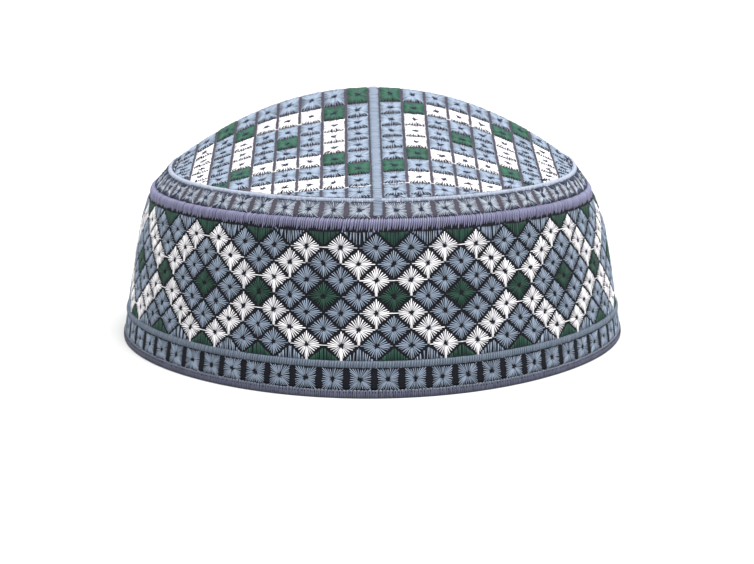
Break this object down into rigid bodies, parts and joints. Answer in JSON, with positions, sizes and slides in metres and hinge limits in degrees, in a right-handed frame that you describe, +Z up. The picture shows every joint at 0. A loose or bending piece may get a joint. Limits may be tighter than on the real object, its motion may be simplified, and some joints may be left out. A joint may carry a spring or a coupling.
{
  "type": "embroidered kufi cap",
  "caption": "Stiff round cloth kufi with a leaning embroidered side band, a ridge seam and a crown folded along its middle; open underneath for the head.",
  "frame": {"origin": "middle of the hem's outline, on the surface that the cap rests on", "axes": "+Z up out of the crown; the front of the cap, seen in the picture, faces -Y; the crown's fold runs along X and the pale strip along Y"},
  "size_m": [0.183, 0.1884, 0.0891],
  "materials": {
    "black_cloth": "matte near-black woven cotton cloth, covered in machine embroidery",
    "pale_blue_thread": "satin-stitched pale blue rayon thread with a soft sheen",
    "purple_grey_thread": "overcast purple-grey thread with a soft sheen",
    "slate_thread": "overcast slate thread, slightly matt",
    "blue_star_thread": "blue-grey satin stitches laid in stars",
    "white_star_thread": "white satin stitches laid in stars",
    "green_star_thread": "dark green satin stitches laid in stars"
  },
  "bodies": {
    "root": {"side_band": "black_cloth", "crown": "black_cloth", "hem_binding": "slate_thread", "ridge_binding": "purple_grey_thread", "lower_line": "pale_blue_thread", "crown_line": "pale_blue_thread", "centre_strip": "pale_blue_thread", "front_strip": "pale_blue_thread", "back_strip": "pale_blue_thread"}
  },
  "joints": []
}
